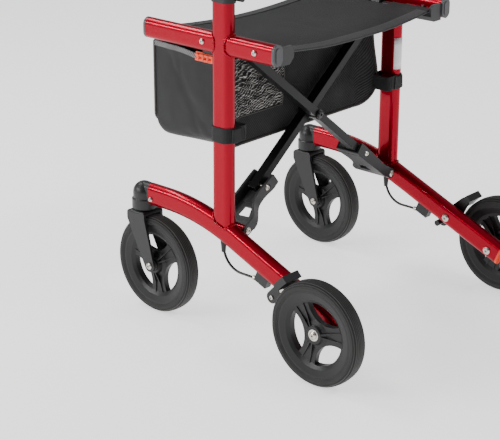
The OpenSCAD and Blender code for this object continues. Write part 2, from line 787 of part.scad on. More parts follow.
// Strap round the upright that holds the bag's lower back corner, and the clip under the rail
module bag_fastenings() {
    strap_z = 390;
    strap_h = 34;
    color(black) {
        difference() {
            upright_column(upright_h + 5, upright_w + 5, strap_z, strap_z + strap_h);
            upright_column(upright_h + 2 * loose, upright_w + 2 * loose, strap_z - 1,
                strap_z + strap_h + 1);
        }
        translate([brace_x + 2, upright_y + upright_h / 2 + 2 * loose, strap_z])
            cube([frame_x - brace_x - 4, 2, strap_h]);
    }
    color("orangered") {
        translate([229.5, -136, 527]) cube([3, 70, 18]);
        translate([229.5, -118, 540]) cube([3, 34, rail_z - 22 - 0.02 - 540]);
        for (z = [527, 538]) translate([232.5, -136, z]) cube([4.5, 70, 6]);
    }
}

// ---------- handles ----------

// The handle tube's route, filled by a flat oval: up, round the bend, then rising to the rear
module handle_route(h, w, bottom, end) {
    translate([frame_x, upright_y, bottom]) linear_extrude(handle_bend_z - bottom) oval(h, w);
    translate([frame_x, upright_y + handle_bend_r, handle_bend_z]) rotate([0, -90, 0]) rotate(-90)
        rotate_extrude(angle = bend_angle, $fn = 128) translate([handle_bend_r, 0]) rotate(90)
        oval(h, w);
    on_grip() translate([0, -0.5, 0]) rotate([-90, 0, 0]) linear_extrude(end + 0.5)
        oval(h - grip_step, w - grip_step);
}

// Local frame at the end of the bend: Y along the grip, Z square to it
module on_grip() {
    translate([frame_x, grip_y, grip_z]) rotate([grip_rise, 0, 0]) children();
}

module handle_tube() {
    color(black) difference() {
        handle_route(handle_h, handle_w, handle_bottom_z, grip_tube);
        handle_route(handle_h - 2 * handle_wall, handle_w - 2 * handle_wall,
            handle_bottom_z - 1, grip_tube + 1);
    }
}

// Clamp collar on the upright's top with the guide for the handle tube
module height_collar() {
    color(black) difference() {
        union() {
            upright_column(upright_h + 5, upright_w + 3, upright_top - 44, upright_top + 10);
            upright_column(upright_h - 2 * tube_wall - gap, upright_w - 2 * tube_wall - gap,
                upright_top - 60, upright_top);
        }
        difference() {
            upright_column(upright_h + 0.2, upright_w + 0.2, upright_top - 70, upright_top);
            upright_column(upright_h - 2 * tube_wall - gap, upright_w - 2 * tube_wall - gap,
                upright_top - 71, upright_top + 1);
        }
        upright_column(handle_h + 2 * gap, handle_w + 2 * gap, upright_top - 80, upright_top + 20);
        pin_y(frame_x, knob_z, axle_r + running, upright_y, upright_y + upright_h);
    }
}

// Clamping screw with a lobed knob
module height_knob() {
    y0 = upright_y + upright_h / 2 + 2.5 + gap;
    color(black) {
        translate([frame_x, y0, knob_z]) along_y() linear_extrude(15) {
            circle(13);
            for (a = [0 : 120 : 240]) capsule([0, 0], 10, 14 * [cos(a), sin(a)], 6);
        }
        pin_y(frame_x, knob_z, axle_r, upright_y + handle_h / 2 + 0.5, y0 + 1);
    }
}

module grip() {
    color(black) on_grip() difference() {
        union() {
            translate([0, 20, 0]) rotate([-90, 0, 0]) linear_extrude(grip_tube - 18) oval(38, 30);
            translate([0, grip_tube + 2, 0]) rotate([-90, 0, 0]) linear_extrude(3) oval(33, 25);
        }
        rotate([-90, 0, 0]) linear_extrude(grip_tube + 0.4) oval(handle_h + 0.2, handle_w + 0.2);
    }
}

// Bracket clamped on the handle tube in front of the grip, with the lever's pivot pin
module lever_bracket() {
    cheek = lever_half_w + gap;
    color(dark_grey) on_grip() {
        difference() {
            union() {
                translate([0, -8, 0]) rotate([-90, 0, 0]) linear_extrude(27) oval(40, 28);
                for (x = [-cheek - 4, cheek]) translate([x, 0, 0]) rotate([90, 0, 90])
                    linear_extrude(4) capsule([lever_pivot[0], -12], 11, lever_pivot, 9);
            }
            translate([0, -10, 0]) rotate([-90, 0, 0]) linear_extrude(40)
                oval(handle_h + 1.4, handle_w + 0.2);
        }
        pin_x(lever_pivot[0], lever_pivot[1], 3, -cheek - 4.5, cheek + 4.5);
    }
}

module brake_lever() {
    heel = [34, -56];
    toe = [116, -66];
    tip = [130, -63];
    color(black) on_grip() difference() {
        translate([-lever_half_w, 0, 0]) rotate([90, 0, 90])
            chain([[lever_pivot, 7], [heel, 5.5], [toe, 4.5], [tip, 5]], 2 * lever_half_w);
        pin_x(lever_pivot[0], lever_pivot[1], 3 + running, -20, 20);
    }
}

// The cable inside the handle, round the bend and down
module handle_cable() {
    color(black) {
        translate([frame_x, upright_y, handle_bottom_z + 30])
            cylinder(r = cable_r, h = handle_bend_z - handle_bottom_z - 30);
        translate([frame_x, upright_y + handle_bend_r, handle_bend_z]) rotate([0, -90, 0])
            rotate(-90) rotate_extrude(angle = bend_angle, $fn = 96)
            translate([handle_bend_r, 0]) circle(cable_r, $fn = 24);
    }
}

// ---------- nodes ----------

module side_part(part, side) {
    if (part == "brace_foot" && side > 0) brace_foot_left();
    else if (part == "brace_foot") brace_foot_right();
    else on_side(side) {
        if (part == "lower_tube") lower_tube();
        if (part == "upright") upright();
        if (part == "seat_rail") seat_rail();
        if (part == "end_caps") end_caps();
        if (part == "seat_saddles") seat_saddles();
        if (part == "frame_bolts") frame_bolts();
        if (part == "rear_axle") rear_axle();
        if (part == "caster_head") caster_head();
        if (part == "cable_stop") cable_stop();
        if (part == "brake_cable") brake_cable();
        if (part == "height_collar") height_collar();
        if (part == "bag_fastenings") bag_fastenings();
        if (part == "caster_fork") caster_fork();
        if (part == "caster_axle") caster_axle();
        if (part == "caster_rim") caster_rim();
        if (part == "caster_tyre") caster_tyre();
        if (part == "rear_rim") rear_rim();
        if (part == "rear_tyre") rear_tyre();
        if (part == "brake_arm") brake_arm();
        if (part == "seat_tube") seat_tube();
        if (part == "handle_tube") handle_tube();
        if (part == "grip") grip();
        if (part == "lever_bracket") lever_bracket();
        if (part == "brake_lever") brake_lever();
        if (part == "height_knob") height_knob();
        if (part == "handle_cable") handle_cable();
    }
}

for (part = SIDE_PARTS, side = SIDES)
    side_part(part, side[1]);
brace_bar_front();
brace_bar_rear();
brace_bolts_front();
brace_bolts_rear();
seat_sling();
bag();
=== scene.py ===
import math

import bpy
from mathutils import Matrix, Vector, noise


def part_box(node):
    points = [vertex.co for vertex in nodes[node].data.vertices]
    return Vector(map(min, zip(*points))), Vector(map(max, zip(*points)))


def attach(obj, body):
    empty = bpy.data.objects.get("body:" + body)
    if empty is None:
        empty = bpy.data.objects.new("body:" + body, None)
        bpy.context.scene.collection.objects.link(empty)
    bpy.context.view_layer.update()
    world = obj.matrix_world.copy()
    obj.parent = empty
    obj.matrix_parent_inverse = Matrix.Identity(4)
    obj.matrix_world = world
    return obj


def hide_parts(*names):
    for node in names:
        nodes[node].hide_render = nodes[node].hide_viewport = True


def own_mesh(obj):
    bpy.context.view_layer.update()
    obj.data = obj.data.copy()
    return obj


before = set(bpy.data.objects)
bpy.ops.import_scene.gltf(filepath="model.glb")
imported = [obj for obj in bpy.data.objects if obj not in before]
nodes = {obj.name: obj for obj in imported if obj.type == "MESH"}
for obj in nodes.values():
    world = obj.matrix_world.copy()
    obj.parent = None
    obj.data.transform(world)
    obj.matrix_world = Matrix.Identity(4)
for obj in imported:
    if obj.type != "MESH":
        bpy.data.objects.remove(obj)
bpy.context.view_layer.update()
scene = bpy.context.scene
SIDES = {"left": 1, "right": -1}

# ---------- camera ----------

cam_data = bpy.data.cameras.new("camera")
cam_data.sensor_width = 36
cam_data.lens = 111.0
cam_data.shift_x = 0.0202
cam_data.shift_y = -0.0012
cam_data.clip_start = 0.1
cam_data.clip_end = 60
camera = bpy.data.objects.new("camera", cam_data)
scene.collection.objects.link(camera)
camera.location = (2.2481, 1.8152, 1.2711)
camera.rotation_mode = "QUATERNION"
# back points from the walker towards the camera
back = Vector((0.6908, 0.6303, 0.3544))
camera.rotation_quaternion = (-back).to_track_quat("-Z", "Y")
scene.camera = camera

# ---------- light and floor ----------

world = bpy.data.worlds.new("studio")
world.use_nodes = True
wt = world.node_tree
wt.nodes.clear()
w_out = wt.nodes.new("ShaderNodeOutputWorld")
w_bg = wt.nodes.new("ShaderNodeBackground")
w_bg.inputs["Color"].default_value = (1, 1, 1, 1)
# A studio that darkens from STUDIO_BRIGHT to STUDIO_DIM as a direction turns towards CAMERA_SIDE,
# the side that the camera stands on.
CAMERA_SIDE = (0.739, 0.674, 0.0)
FADE_FROM, FADE_TO = 0.35, 0.9
STUDIO_BRIGHT, STUDIO_DIM = 0.42, 0.06
w_dir = wt.nodes.new("ShaderNodeTexCoord")
w_dot = wt.nodes.new("ShaderNodeVectorMath")
w_dot.operation = "DOT_PRODUCT"
w_dot.inputs[1].default_value = CAMERA_SIDE
wt.links.new(w_dir.outputs["Generated"], w_dot.inputs[0])
w_map = wt.nodes.new("ShaderNodeMapRange")
w_map.interpolation_type = "SMOOTHSTEP"
for key, value in (("From Min", FADE_FROM), ("From Max", FADE_TO),
                   ("To Min", STUDIO_BRIGHT), ("To Max", STUDIO_DIM)):
    w_map.inputs[key].default_value = value
wt.links.new(w_dot.outputs["Value"], w_map.inputs["Value"])
wt.links.new(w_map.outputs["Result"], w_bg.inputs["Strength"])
wt.links.new(w_bg.outputs["Background"], w_out.inputs["Surface"])
scene.world = world


def area_light(name, place, target, size, power):
    """A rectangle of light of the given size in metres and power in watts, aimed from place at target."""
    data = bpy.data.lights.new(name, "AREA")
    data.shape = "RECTANGLE"
    data.size, data.size_y = size
    data.energy = power
    light = bpy.data.objects.new(name, data)
    light.location = place
    light.rotation_mode = "QUATERNION"
    light.rotation_quaternion = (Vector(target) - Vector(place)).to_track_quat("-Z", "Y")
    scene.collection.objects.link(light)


area_light("key", (-0.6, 2.4, 3.0), (0, 0, 0.3), (1.5, 0.3), 31)
area_light("side", (2.84, -1.69, 1.6), (0.25, -0.1, 0.2), (2.1, 0.26), 70)
area_light("top", (0.64, -1.94, 2.65), (0.1, -0.05, 0.4), (1.7, 0.3), 34)
area_light("back", (-2.6, -1.4, 2.4), (0, 0, 0.4), (1.2, 0.5), 10)

floor_mesh = bpy.data.meshes.new("floor")
FLOOR_HALF = 60.0
FLOOR_DROP = 0.0006
corners = [(x * FLOOR_HALF, y * FLOOR_HALF, 0) for x, y in ((-1, -1), (1, -1), (1, 1), (-1, 1))]
floor_mesh.from_pydata(corners, [], [(0, 1, 2, 3)])
floor = bpy.data.objects.new("floor", floor_mesh)
scene.collection.objects.link(floor)
floor.location.z = -FLOOR_DROP

# ---------- materials ----------

ZINC = (0.66, 0.62, 0.56)
SHARP_ANGLE = math.radians(32)
LATHE_SHARP_ANGLE = math.radians(35)


class Shader:
    """A Principled material built node by node."""

    def __init__(self, name):
        self.mat = bpy.data.materials.new(name)
        self.mat.use_nodes = True
        self.tree = self.mat.node_tree
        self.bsdf = self.tree.nodes["Principled BSDF"]

    def node(self, kind, **values):
        n = self.tree.nodes.new(kind)
        for key, value in values.items():
            if key in n.inputs:
                n.inputs[key].default_value = value
            else:
                setattr(n, key, value)
        return n

    def link(self, a, b):
        self.tree.links.new(a, b)

    def set(self, **values):
        for key, value in values.items():
            self.bsdf.inputs[key.replace("_", " ")].default_value = value

    def coords(self):
        return self.node("ShaderNodeTexCoord").outputs["Object"]

    def noise_out(self, scale, detail=3.0, vector=None, stretch=None):
        vec = vector or self.coords()
        if stretch:
            m = self.node("ShaderNodeMapping")
            m.inputs["Scale"].default_value = stretch
            self.link(vec, m.inputs["Vector"])
            vec = m.outputs["Vector"]
        n = self.node("ShaderNodeTexNoise", Scale=scale, Detail=detail)
        self.link(vec, n.inputs["Vector"])
        return n.outputs["Fac"]

    def ramp(self, fac, stops):
        r = self.node("ShaderNodeValToRGB")
        e = r.color_ramp.elements
        while len(e) < len(stops):
            e.new(0.5)
        for el, (pos, col) in zip(e, stops):
            el.position = pos
            el.color = (*col, 1) if len(col) == 3 else col
        self.link(fac, r.inputs["Fac"])
        return r.outputs["Color"]

    def maths(self, op, a, b=None, clamp=False):
        m = self.node("ShaderNodeMath", operation=op, use_clamp=clamp)
        for socket, value in ((m.inputs[0], a), (m.inputs[1], b)):
            if value is None:
                continue
            if isinstance(value, (int, float)):
                socket.default_value = value
            else:
                self.link(value, socket)
        return m.outputs[0]

    def mix(self, fac, a, b):
        m = self.node("ShaderNodeMix", data_type="RGBA")
        for socket, value in ((m.inputs["Factor"], fac), (m.inputs[6], a), (m.inputs[7], b)):
            if isinstance(value, (int, float)):
                socket.default_value = value
            elif isinstance(value, tuple):
                socket.default_value = (*value, 1)
            else:
                self.link(value, socket)
        return m.outputs[2]

    def bump(self, height, strength, distance, rounded=0.0):
        """Bumps the surface, and softens its edges in the shading by the radius rounded."""
        b = self.node("ShaderNodeBump", Strength=strength, Distance=distance)
        self.link(height, b.inputs["Height"])
        if rounded:
            bevel = self.node("ShaderNodeBevel", samples=4, Radius=rounded)
            self.link(bevel.outputs["Normal"], b.inputs["Normal"])
        self.link(b.outputs["Normal"], self.bsdf.inputs["Normal"])

    def to(self, socket, value):
        self.link(value, self.bsdf.inputs[socket])


def plastic(name, colour, rough, grain=1400, depth=0.00004, edge=0.0006, gloss=0.5):
    """Moulded plastic with faint patches and a fine grain."""
    m = Shader(name)
    m.set(Base_Color=(*colour, 1), Roughness=rough, Specular_IOR_Level=gloss)
    patch = m.noise_out(35, 4)
    lighter = tuple(min(1, v * 1.25) for v in colour)
    m.to("Base Color", m.mix(patch, tuple(v * 0.85 for v in colour), lighter))
    m.to("Roughness", m.maths("ADD", m.maths("MULTIPLY", patch, 0.14), rough - 0.07))
    m.bump(m.noise_out(grain, 2), 0.5, depth, edge)
    return m.mat


def red_paint():
    """Metallic red with fine flakes under a thin clear coat."""
    m = Shader("frame_red")
    flake = m.node("ShaderNodeTexVoronoi", Scale=2600.0)
    m.link(m.coords(), flake.inputs["Vector"])
    spark = m.ramp(flake.outputs["Distance"], [(0.0, (0.33, 0.0, 0.014)), (1.0, (0.27, 0.0, 0.011))])
    wide = m.noise_out(6, 2)
    m.to("Base Color", m.mix(m.maths("MULTIPLY", wide, 0.35), spark, (0.25, 0.0, 0.010)))
    m.set(Metallic=0.7, Roughness=0.3, Specular_IOR_Level=0.0, Coat_Weight=0.2, Coat_Roughness=0.04,
          Coat_IOR=1.5)
    m.bump(m.noise_out(60, 2), 0.03, 0.0002, 0.0007)
    return m.mat


def metal(name, colour, rough, edge=0.0003):
    """Bare plated metal, a little uneven in colour and gloss."""
    m = Shader(name)
    m.set(Metallic=1.0, Base_Color=(*colour, 1), Roughness=rough)
    fine = m.noise_out(900, 3)
    m.to("Roughness", m.maths("ADD", m.maths("MULTIPLY", fine, 0.18), rough - 0.08))
    m.to("Base Color", m.mix(m.noise_out(120, 3), colour, tuple(v * 0.75 for v in colour)))
    m.bump(fine, 0.15, 0.00005, edge)
    return m.mat


def black_metal():
    """Satin black powder coat, its edges softened in the shading."""
    m = Shader("black_metal")
    m.set(Base_Color=(0.008, 0.008, 0.009, 1), Roughness=0.33, Specular_IOR_Level=0.2)
    m.to("Roughness", m.maths("ADD", m.maths("MULTIPLY", m.noise_out(60, 4), 0.16), 0.24))
    m.bump(m.noise_out(1800, 2), 0.35, 0.00003, 0.0016)
    return m.mat


TREAD_FROM = 0.0925
# Waves of the tyres' pattern: across the tread and along the radius per metre, round it per radian
GROOVE_WAVE, RING_WAVE, TICK_WAVE = 1750.0, 2200.0, 420.0


def tyre(name, centre):
    """Rubber with fine grooves round the axle at centre (x, y, z): on the tread, past the radius
    TREAD_FROM, side by side with a cross texture, and on the side walls as rings."""
    m = Shader(name)
    sep = m.node("ShaderNodeSeparateXYZ")
    m.link(m.coords(), sep.inputs["Vector"])
    x = m.maths("SUBTRACT", sep.outputs["X"], centre[0])
    y = m.maths("SUBTRACT", sep.outputs["Y"], centre[1])
    z = m.maths("SUBTRACT", sep.outputs["Z"], centre[2])
    radius = m.maths("SQRT", m.maths("ADD", m.maths("MULTIPLY", y, y), m.maths("MULTIPLY", z, z)))
    angle = m.maths("ARCTAN2", y, z)
    tread = m.maths("GREATER_THAN", radius, TREAD_FROM)
    across = m.maths("MULTIPLY", m.maths("SINE", m.maths("MULTIPLY", x, GROOVE_WAVE)), tread)
    ticks = m.maths("MULTIPLY", m.maths("SINE", m.maths("MULTIPLY", angle, TICK_WAVE)), 0.25)
    ticks = m.maths("MULTIPLY", ticks, tread)
    ring = m.maths("SINE", m.maths("MULTIPLY", radius, RING_WAVE))
    ring = m.maths("MULTIPLY", ring, m.maths("MULTIPLY", m.maths("LESS_THAN", radius, TREAD_FROM), 0.25))
    height = m.maths("ADD", m.maths("ADD", across, ticks), ring)
    m.bump(height, 0.8, 0.0006)
    dust = m.noise_out(30, 5)
    plain = m.mix(dust, (0.005, 0.005, 0.0052), (0.012, 0.012, 0.0122))
    # Painted highlight: the tread's groove crests are painted a lighter grey, together with lighter random
    # dust patches.
    lighter_share = m.maths("MULTIPLY", m.maths("ADD", across, m.maths("MULTIPLY", dust, 0.6)), 0.55, clamp=True)
    m.to("Base Color", m.mix(lighter_share, plain, (0.075, 0.073, 0.070)))
    m.set(Specular_IOR_Level=0.3)
    m.to("Roughness", m.maths("ADD", m.maths("MULTIPLY", dust, 0.2), 0.52))
    return m.mat


def two_tone(name, low, high, level, rough):
    """One plastic below a height and another above it, for caps of two colours."""
    m = Shader(name)
    sep = m.node("ShaderNodeSeparateXYZ")
    m.link(m.coords(), sep.inputs["Vector"])
    above = m.maths("GREATER_THAN", sep.outputs["Z"], level)
    m.to("Base Color", m.mix(above, low, high))
    m.set(Roughness=rough, Specular_IOR_Level=0.45)
    m.bump(m.noise_out(900, 3), 0.3, 0.00004, 0.0008)
    return m.mat


def two_finishes(name, reach):
    """Zinc-plated steel at the sides, black-plated nearer the middle than reach."""
    m = Shader(name)
    sep = m.node("ShaderNodeSeparateXYZ")
    m.link(m.coords(), sep.inputs["Vector"])
    black = m.maths("LESS_THAN", m.maths("ABSOLUTE", sep.outputs["X"]), reach)
    m.to("Base Color", m.mix(black, ZINC, (0.012, 0.012, 0.012)))
    m.to("Metallic", m.maths("SUBTRACT", 1.0, black))
    m.to("Roughness", m.maths("ADD", m.maths("MULTIPLY", m.noise_out(900, 3), 0.18), 0.22))
    m.bump(m.noise_out(700, 3), 0.15, 0.00005, 0.0003)
    return m.mat


BLACK_TO_X = 0.06
CAP_COLOURS_MEET_Z = 0.4

RED = red_paint()
BLACK_METAL = black_metal()
STEEL = metal("steel", ZINC, 0.28)
BRACE_STEEL = two_finishes("brace_steel", BLACK_TO_X)
BLACK = plastic("black_plastic", (0.013, 0.013, 0.014), 0.40, gloss=0.36)
DARK = plastic("dark_plastic", (0.022, 0.022, 0.024), 0.44, gloss=0.36)
WHEEL = plastic("wheel_plastic", (0.009, 0.009, 0.0095), 0.40, grain=900, depth=0.00006, gloss=0.32)
CABLE = plastic("cable", (0.008, 0.008, 0.008), 0.36, grain=300, gloss=0.36)
GRIP = plastic("grip", (0.022, 0.022, 0.022), 0.72, grain=2400, depth=0.0001)
CAPS = two_tone("caps", (0.86, 0.055, 0.006), (0.06, 0.06, 0.066), CAP_COLOURS_MEET_Z, 0.45)
ORANGE = plastic("orange_plastic", (0.9, 0.06, 0.008), 0.4)

floor_mat = Shader("floor")
floor_mat.set(Base_Color=(0.9, 0.9, 0.9, 1), Roughness=0.7, Specular_IOR_Level=0.1,
              Emission_Color=(1, 1, 1, 1), Emission_Strength=1.05)
floor_mesh.materials.append(floor_mat.mat)


def paint(node, material):
    """Gives a CAD node its material and smooth shading up to the sharp edges."""
    data = nodes[node].data
    data.materials.clear()
    data.materials.append(material)
    data.set_sharp_from_angle(angle=SHARP_ANGLE)
    for p in data.polygons:
        p.use_smooth = True


PAINT = {
    "lower_tube": RED, "upright": RED, "seat_rail": RED, "end_caps": CAPS, "seat_saddles": DARK,
    "frame_bolts": STEEL, "rear_axle": STEEL, "caster_head": BLACK, "cable_stop": BLACK,
    "brake_cable": CABLE, "height_collar": BLACK, "bag_fastenings": BLACK, "caster_fork": BLACK,
    "caster_axle": STEEL, "caster_rim": WHEEL, "rear_rim": WHEEL, "brake_arm": BLACK,
    "brace_foot": DARK, "seat_tube": BLACK_METAL, "handle_tube": BLACK_METAL, "grip": GRIP,
    "lever_bracket": DARK, "brake_lever": BLACK, "height_knob": BLACK, "handle_cable": CABLE,
}
for side in SIDES:
    for part, material in PAINT.items():
        paint(f"{part}_{side}", material)
    for part in ("caster_tyre", "rear_tyre"):
        low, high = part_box(f"{part}_{side}")
        paint(f"{part}_{side}", tyre(f"{part}_{side}", (low + high) / 2))
for name, material in (("brace_bar_front", BLACK_METAL), ("brace_bar_rear", BLACK_METAL),
                       ("brace_bolts_front", STEEL), ("brace_bolts_rear", BRACE_STEEL)):
    paint(name, material)


# ---------- building pieces ----------


def piece(name, verts, faces, material, body):
    """A smooth-shaded mesh that rides on the body."""
    data = bpy.data.meshes.new(name)
    data.from_pydata([tuple(v) for v in verts], [], faces)
    data.validate()
    data.materials.append(material)
    for p in data.polygons:
        p.use_smooth = True
    obj = bpy.data.objects.new(name, data)
    scene.collection.objects.link(obj)
    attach(obj, body)
    return obj


def sheet_mesh(name, fn, nu, nv, material, body, keep=None):
    """A grid of fn(u, v), leaving out the cells for which keep(u, v) is False."""
    verts = [fn(i / nu, j / nv) for j in range(nv + 1) for i in range(nu + 1)]
    faces = []
    for j in range(nv):
        for i in range(nu):
            if keep is None or keep((i + 0.5) / nu, (j + 0.5) / nv):
                a = j * (nu + 1) + i
                faces.append((a, a + 1, a + nu + 2, a + nu + 1))
    used = sorted({v for f in faces for v in f})
    index = {v: k for k, v in enumerate(used)}
    return piece(name, [verts[v] for v in used], [tuple(index[v] for v in f) for f in faces],
                 material, body)


def thicken(obj, thickness):
    """Gives a surface its thickness, half to each side."""
    m = obj.modifiers.new("thickness", "SOLIDIFY")
    m.thickness = thickness
    m.offset = 0.0
    return obj


def sweep(name, path, section, material, body, closed=False, up=(0, 0, 1)):
    """Carries section(k), a list of (sideways, upward) offsets, along the path."""
    path = [Vector(p) for p in path]
    n, up = len(path), Vector(up)
    verts, rings = [], []
    for k, p in enumerate(path):
        ahead = path[(k + 1) % n] if closed or k < n - 1 else path[k]
        behind = path[k - 1] if closed or k > 0 else path[k]
        t = (ahead - behind).normalized()
        side = t.cross(up)
        side = side.normalized() if side.length > 1e-6 else t.orthogonal().normalized()
        over = side.cross(t)
        ring = [p + side * a + over * b for a, b in section(k)]
        rings.append(range(len(verts), len(verts) + len(ring)))
        verts += ring
    m, faces = len(rings[0]), []
    for k in range(n if closed else n - 1):
        r0, r1 = rings[k], rings[(k + 1) % n]
        faces += [(r0[i], r0[(i + 1) % m], r1[(i + 1) % m], r1[i]) for i in range(m)]
    if not closed:
        faces += [tuple(rings[0]), tuple(reversed(rings[-1]))]
    return piece(name, verts, faces, material, body)


def round_section(r, sides=10):
    """A cord's section."""
    ring = [(r * math.cos(a), r * math.sin(a)) for a in (2 * math.pi * i / sides for i in range(sides))]
    return lambda k: ring


def band_section(wide, thick, bulge=0.35):
    """A strap's section: flat, with rounded edges; wide runs upward, thick sideways."""
    def rounded(v):
        return math.copysign(abs(v) ** bulge, v)

    pts = [(thick / 2 * rounded(math.cos(a)), wide / 2 * rounded(math.sin(a)))
           for a in (2 * math.pi * i / 16 for i in range(16))]
    return lambda k: pts


def oval_points(h, w, count):
    """Points round a flat oval whose long axis is Y, as (x, y), evenly spaced by angle and length."""
    straight, arc = h - w, math.pi * w / 2
    total = 2 * (straight + arc)
    out = []
    for k in range(count):
        d = total * k / count
        if d < straight:
            out.append((w / 2, -straight / 2 + d))
        elif d < straight + arc:
            a = (d - straight) / (w / 2)
            out.append((w / 2 * math.cos(a), straight / 2 + w / 2 * math.sin(a)))
        elif d < 2 * straight + arc:
            out.append((-w / 2, straight / 2 - (d - straight - arc)))
        else:
            a = math.pi + (d - 2 * straight - arc) / (w / 2)
            out.append((w / 2 * math.cos(a), -straight / 2 + w / 2 * math.sin(a)))
    return out


def block(name, low, high, material, body, bevel=0.0008):
    """A box between two corners, with rounded edges."""
    x0, y0, z0 = low
    x1, y1, z1 = high
    verts = [(x, y, z) for x in (x0, x1) for y in (y0, y1) for z in (z0, z1)]
    faces = [(0, 1, 3, 2), (4, 6, 7, 5), (0, 4, 5, 1), (2, 3, 7, 6), (0, 2, 6, 4), (1, 5, 7, 3)]
    obj = piece(name, verts, faces, material, body)
    m = obj.modifiers.new("bevel", "BEVEL")
    m.width = bevel
    m.segments = 3
    return obj


def lathe(name, place, axis, profile, material, body, sides=40):
    """Turns profile, a list of (along, radius), round the axis through place."""
    axis = Vector(axis).normalized()
    u = axis.orthogonal().normalized()
    v = axis.cross(u)
    verts = [Vector(place) + axis * a + (u * math.cos(t) + v * math.sin(t)) * r
             for a, r in profile for t in (2 * math.pi * i / sides for i in range(sides))]
    faces = [(j * sides + i, j * sides + n, (j + 1) * sides + n, (j + 1) * sides + i)
             for j in range(len(profile) - 1) for i, n in ((i, (i + 1) % sides) for i in range(sides))]
    faces += [tuple(reversed(range(sides))), tuple(range((len(profile) - 1) * sides, len(profile) * sides))]
    obj = piece(name, verts, faces, material, body)
    obj.data.set_sharp_from_angle(angle=LATHE_SHARP_ANGLE)
    return obj


def ease(t):
    """A smooth step from 0 to 1."""
    t = min(max(t, 0.0), 1.0)
    return t * t * (3 - 2 * t)


def crumple(p, scale, seed=0.0):
    """Smooth uneven noise at p, from about -1 to 1."""
    return noise.noise(Vector((p[0] * scale + seed, p[1] * scale, p[2] * scale)))


# ---------- fabrics ----------


def fabric(name, dark, light, kind, pitch, depth, rough, sheen):
    """Woven cloth: kind is twill (diagonal lines), seat (checks) or smooth (fine nylon)."""
    m = Shader(name)
    sep = m.node("ShaderNodeSeparateXYZ")
    m.link(m.coords(), sep.inputs["Vector"])
    x, y, z = (sep.outputs[k] for k in "XYZ")
    k = 2 * math.pi / pitch
    flat = m.maths("ADD", x, y)
    if kind == "twill":
        a = m.maths("SINE", m.maths("MULTIPLY", m.maths("ADD", flat, z), k))
        b = m.maths("SINE", m.maths("MULTIPLY", m.maths("SUBTRACT", flat, z), k * 2.1))
        weave = m.maths("ADD", m.maths("MULTIPLY", a, 0.7), m.maths("MULTIPLY", b, 0.3))
    elif kind == "seat":
        a = m.maths("SINE", m.maths("MULTIPLY", x, k))
        b = m.maths("SINE", m.maths("MULTIPLY", y, k))
        weave = m.maths("MULTIPLY", a, b)
    else:
        a = m.maths("SINE", m.maths("MULTIPLY", flat, k))
        b = m.maths("SINE", m.maths("MULTIPLY", z, k))
        weave = m.maths("MULTIPLY", a, b)
    cloudy = m.noise_out(14, 5)
    lift = {"twill": 0.42, "seat": 0.35}.get(kind, 0.15)
    tone = m.maths("ADD", m.maths("MULTIPLY", weave, lift),
                   m.maths("ADD", m.maths("MULTIPLY", cloudy, 0.8), 0.05), clamp=True)
    m.to("Base Color", m.mix(tone, dark, light))
    m.set(Roughness=rough, Specular_IOR_Level=0.2, Sheen_Weight=sheen, Sheen_Roughness=0.45)
    m.bump(m.maths("ADD", weave, m.maths("MULTIPLY", m.noise_out(420, 4), 0.5)), 0.45, depth)
    return m.mat


HOLE_PITCH, ROW_PITCH = 0.0062, 0.0064


def mesh_cloth():
    """Open mesh of black threads, with bright glints painted into its colour in wavy gathered rows: painted
    highlights.
    """
    m = Shader("mesh_pocket")
    sep = m.node("ShaderNodeSeparateXYZ")
    m.link(m.coords(), sep.inputs["Vector"])
    x, z = sep.outputs["X"], sep.outputs["Z"]
    warp = m.maths("MULTIPLY", m.maths("SUBTRACT", m.noise_out(22, 3), 0.5), 0.030)
    k = 2 * math.pi / HOLE_PITCH
    a = m.maths("SINE", m.maths("MULTIPLY", m.maths("ADD", m.maths("ADD", x, z), warp), k))
    b = m.maths("SINE", m.maths("MULTIPLY", m.maths("SUBTRACT", m.maths("SUBTRACT", x, z), warp), k))
    holes = m.maths("MULTIPLY", a, b)
    slanted = m.maths("ADD", z, m.maths("MULTIPLY", x, 0.45))
    wavy = m.maths("ADD", slanted, m.maths("MULTIPLY", warp, 1.4))
    rows = m.maths("SINE", m.maths("MULTIPLY", wavy, 2 * math.pi / ROW_PITCH))
    drift = m.maths("SUBTRACT", m.noise_out(60, 3, stretch=(1.0, 1.0, 2.0)), 0.45)
    lit = m.maths("ADD", m.maths("MULTIPLY", holes, 0.50), m.maths("MULTIPLY", rows, 0.45))
    glints = m.maths("ADD", lit, m.maths("MULTIPLY", drift, 1.6))
    fac = m.maths("MULTIPLY", m.maths("SUBTRACT", glints, 0.22), 1.5, clamp=True)
    # Painted highlights: the glints lighten the base colour and lower the roughness.
    m.to("Base Color", m.mix(fac, (0.006, 0.006, 0.0062), (0.62, 0.60, 0.57)))
    m.to("Roughness", m.maths("SUBTRACT", 0.75, m.maths("MULTIPLY", fac, 0.4)))
    m.set(Specular_IOR_Level=0.3)
    m.bump(m.maths("SUBTRACT", 1.0, holes), 0.7, 0.0006)
    return m.mat


def webbing(name, dark, light, pitch, slant):
    """Ribbed strap, striped across its length or on a slant."""
    m = Shader(name)
    sep = m.node("ShaderNodeSeparateXYZ")
    m.link(m.coords(), sep.inputs["Vector"])
    along = m.maths("ADD", sep.outputs["Y"], sep.outputs["X"])
    along = m.maths("ADD", along, m.maths("MULTIPLY", sep.outputs["Z"], slant))
    wave = m.maths("SINE", m.maths("MULTIPLY", along, 2 * math.pi / pitch))
    lighter_share = m.maths("ADD", m.maths("MULTIPLY", m.noise_out(90, 3), 0.5), 0.2)
    tone = m.maths("ADD", m.maths("MULTIPLY", wave, 0.35), lighter_share, clamp=True)
    m.to("Base Color", m.mix(tone, dark, light))
    m.set(Roughness=0.8, Specular_IOR_Level=0.25, Sheen_Weight=0.06)
    m.bump(m.maths("ADD", wave, m.noise_out(900, 2)), 0.5, 0.0003)
    return m.mat


